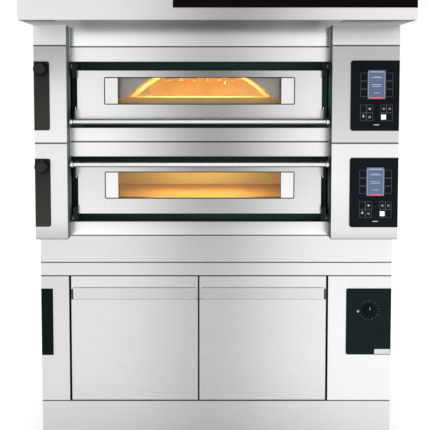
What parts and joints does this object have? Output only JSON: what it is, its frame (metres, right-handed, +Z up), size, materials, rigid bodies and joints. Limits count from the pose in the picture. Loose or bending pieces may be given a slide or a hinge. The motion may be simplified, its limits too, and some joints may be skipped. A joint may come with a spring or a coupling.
{
  "type": "twin-deck pizza oven",
  "caption": "Stacked electric deck pizza oven with glazed drop and lift doors, glass touch panels, a proving cabinet below and an extraction hood above.",
  "frame": {"origin": "middle of the floor under the whole oven", "axes": "+Z up, doors face -Y, +X to the right of a person in front"},
  "size_m": [1.5, 1.5, 2.153],
  "materials": {
    "brushed_steel": "fine horizontal brushing",
    "bright_steel": "polished",
    "filter_aluminium": "satin",
    "duct_aluminium": "satin",
    "heater_tube": "oxidised tube",
    "spring_steel": "oiled wire",
    "door_glass": "clear",
    "black_glass": "gloss",
    "display_blue": "lit screen",
    "dark_plate": "satin",
    "black_knob": "fine grain",
    "fan_plastic": "moulded",
    "circuit_board": "solder mask",
    "firebrick": "matt",
    "mineral_wool": "fibrous",
    "lamp_glass": "lit",
    "pilot_lens": "gloss",
    "gland_nylon": "moulded",
    "rubber_pad": "matt"
  },
  "bodies": {
    "oven": {"cabinet_casing": "brushed_steel", "cabinet_front": "brushed_steel", "cabinet_hinge_pins": "bright_steel", "cabinet_lining": "brushed_steel", "cable_gland": "gland_nylon", "chamber_lamps": "lamp_glass", "chambers": "brushed_steel", "control_boards": "circuit_board", "control_panels": "black_glass", "displays": "display_blue", "door_hinge_brackets": "brushed_steel", "door_springs": "spring_steel", "exhaust_ducts": "brushed_steel", "fan_frames": "fan_plastic", "floor_pads": "rubber_pad", "grease_filter": "filter_aluminium", "hearth_slabs": "firebrick", "heating_elements": "heater_tube", "hood_base": "brushed_steel", "hood_collar": "duct_aluminium", "hood_shell": "brushed_steel", "insulation": "mineral_wool", "left_cover_plates": "dark_plate", "lower_casing": "brushed_steel", "lower_front_frame": "brushed_steel", "lower_left_pillar": "brushed_steel", "lower_right_pillar": "brushed_steel", "pilot_lamp": "pilot_lens", "plinth": "brushed_steel", "proving_heater": "brushed_steel", "sign_plate": "black_glass", "temperature_probes": "bright_steel", "thermostat_body": "fan_plastic", "thermostat_plate": "dark_plate", "tray_runners": "brushed_steel", "upper_casing": "brushed_steel", "upper_dome": "firebrick", "upper_front_frame": "brushed_steel", "upper_left_pillar": "brushed_steel", "upper_right_pillar": "brushed_steel"},
    "lower_door": {"lower_door_skin": "brushed_steel", "lower_door_glass": "door_glass", "lower_window_blocks": "bright_steel", "lower_door_handle": "bright_steel", "lower_door_hinges": "brushed_steel"},
    "upper_door": {"upper_door_skin": "brushed_steel", "upper_door_glass": "door_glass", "upper_window_blocks": "bright_steel", "upper_door_handle": "bright_steel", "upper_door_hinges": "brushed_steel"},
    "left_cabinet_leaf": {"left_cabinet_door": "brushed_steel"},
    "right_cabinet_leaf": {"right_cabinet_door": "brushed_steel"},
    "lower_steam_valve": {"lower_steam_knob": "black_knob", "lower_steam_damper": "bright_steel"},
    "upper_steam_valve": {"upper_steam_knob": "black_knob", "upper_steam_damper": "bright_steel"},
    "thermostat_dial": {"thermostat_knob": "black_knob"},
    "lower_fan_wheel": {"lower_cooling_fan": "fan_plastic"},
    "upper_fan_wheel": {"upper_cooling_fan": "fan_plastic"},
    "hood_fan_wheel": {"hood_fan": "fan_plastic"}
  },
  "joints": [
    {"name": "upper_door_hinge", "type": "hinge", "parent": "oven", "child": "upper_door", "pos_m": [-0.071, -0.365, 1.668], "axis": [-1, 0, 0], "range_deg": [0, 90]},
    {"name": "lower_door_hinge", "type": "hinge", "parent": "oven", "child": "lower_door", "pos_m": [-0.071, -0.365, 1.028], "axis": [1, 0, 0], "range_deg": [0, 90]},
    {"name": "left_cabinet_hinge", "type": "hinge", "parent": "oven", "child": "left_cabinet_leaf", "pos_m": [-0.604, -0.338, 0.5], "axis": [0, 0, -1], "range_deg": [0, 110]},
    {"name": "right_cabinet_hinge", "type": "hinge", "parent": "oven", "child": "right_cabinet_leaf", "pos_m": [0.453, -0.338, 0.5], "axis": [0, 0, 1], "range_deg": [0, 110]},
    {"name": "upper_steam_turn", "type": "hinge", "parent": "oven", "child": "upper_steam_valve", "pos_m": [-0.72, -0.45, 1.655], "axis": [0, 1, 0], "range_deg": [0, 90]},
    {"name": "lower_steam_turn", "type": "hinge", "parent": "oven", "child": "lower_steam_valve", "pos_m": [-0.72, -0.45, 1.255], "axis": [0, 1, 0], "range_deg": [0, 90]},
    {"name": "thermostat_turn", "type": "hinge", "parent": "oven", "child": "thermostat_dial", "pos_m": [0.655, -0.35, 0.626], "axis": [0, 1, 0], "range_deg": [0, 270]},
    {"name": "upper_fan_spin", "type": "hinge", "parent": "oven", "child": "upper_fan_wheel", "pos_m": [0.65, 0.63, 1.55], "axis": [0, 1, 0], "continuous": true},
    {"name": "lower_fan_spin", "type": "hinge", "parent": "oven", "child": "lower_fan_wheel", "pos_m": [0.65, 0.63, 1.15], "axis": [0, 1, 0], "continuous": true},
    {"name": "hood_fan_spin", "type": "hinge", "parent": "oven", "child": "hood_fan_wheel", "pos_m": [0, 0.25, 2.1], "axis": [0, 0, 1], "continuous": true}
  ]
}
